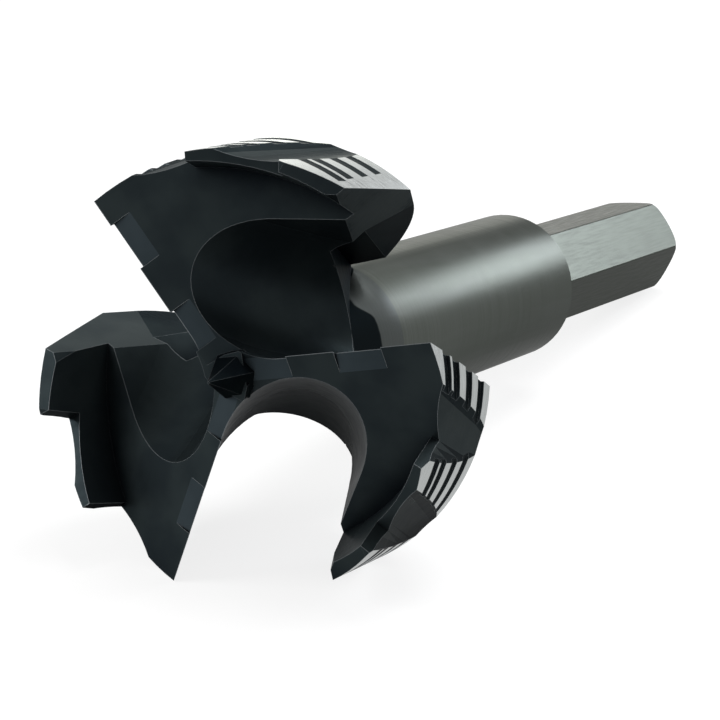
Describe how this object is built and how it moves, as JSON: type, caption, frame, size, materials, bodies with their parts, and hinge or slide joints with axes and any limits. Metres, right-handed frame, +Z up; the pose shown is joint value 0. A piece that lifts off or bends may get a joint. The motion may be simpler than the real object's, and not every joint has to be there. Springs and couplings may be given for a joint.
{
  "type": "forstner bit",
  "caption": "Drill bit for clean, flat-bottomed holes in wood: swept cutting wings with a toothed rim around a centre point, on a round neck and a hexagonal shank.",
  "frame": {"origin": "centre of the bounding box's footprint, on the bench the bit lies on", "axes": "+Z up from the bench, cutting end towards -Y and shank towards +Y. The bit lies as it comes to rest, on the heel of one wing, the leading rim edge of the next and the end of the shank, so its axis climbs 8.7 degrees towards the head"},
  "size_m": [0.04, 0.0994, 0.0388],
  "materials": {
    "tool_steel": "black oxide on the cutting head, ground bright on the rim lands, satin grey steel on the neck and shank"
  },
  "bodies": {
    "root": {"forstner_bit": "tool_steel"}
  },
  "joints": []
}
